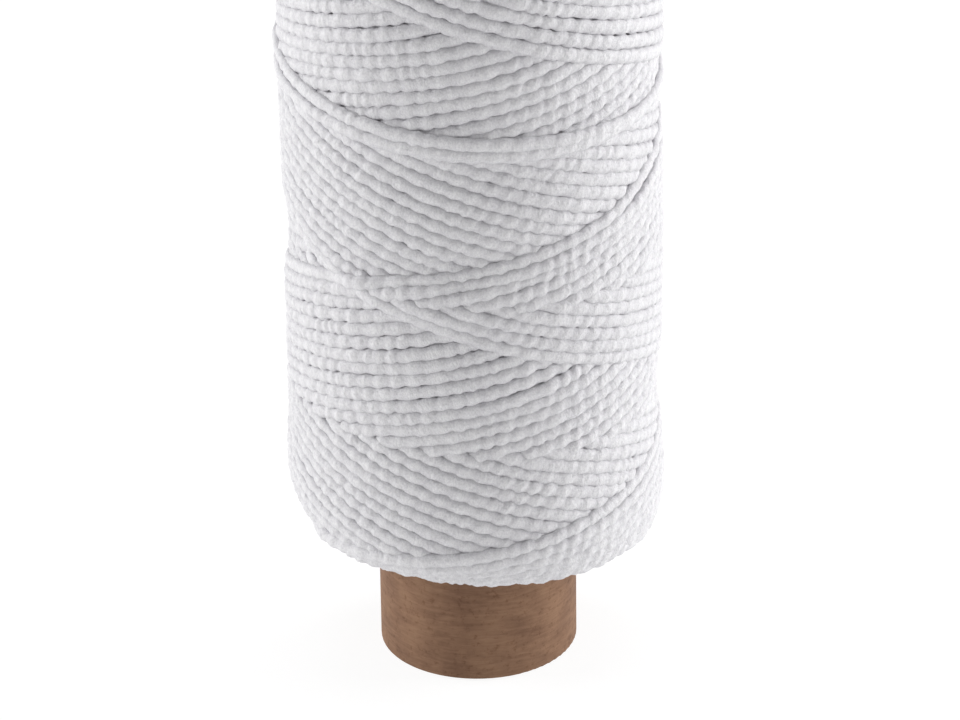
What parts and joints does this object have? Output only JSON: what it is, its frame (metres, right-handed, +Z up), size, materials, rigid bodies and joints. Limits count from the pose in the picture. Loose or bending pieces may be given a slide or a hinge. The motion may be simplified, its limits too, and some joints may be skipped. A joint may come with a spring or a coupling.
{
  "type": "thread spool",
  "caption": "Cross-wound spool of white covered thread on a brown spiral-wound board tube that stands out bare at both ends.",
  "frame": {"origin": "centre of the tube's lower rim, on the plane the spool stands on", "axes": "+Z up along the tube's axis; +X and +Y across the tube, with the outer ply's seam on the +Y side below the thread"},
  "size_m": [0.0264, 0.0264, 0.0776],
  "materials": {
    "liner_paper": "matt",
    "grey_board": "matt",
    "brown_kraft": "matt, fibrous",
    "covered_thread": "soft, fine filament sheen"
  },
  "bodies": {
    "root": {"core_liner_ply": "liner_paper", "core_board_ply_1": "grey_board", "core_board_ply_2": "grey_board", "core_board_ply_3": "grey_board", "core_wrap_ply": "brown_kraft", "thread_winding": "covered_thread"}
  },
  "joints": []
}
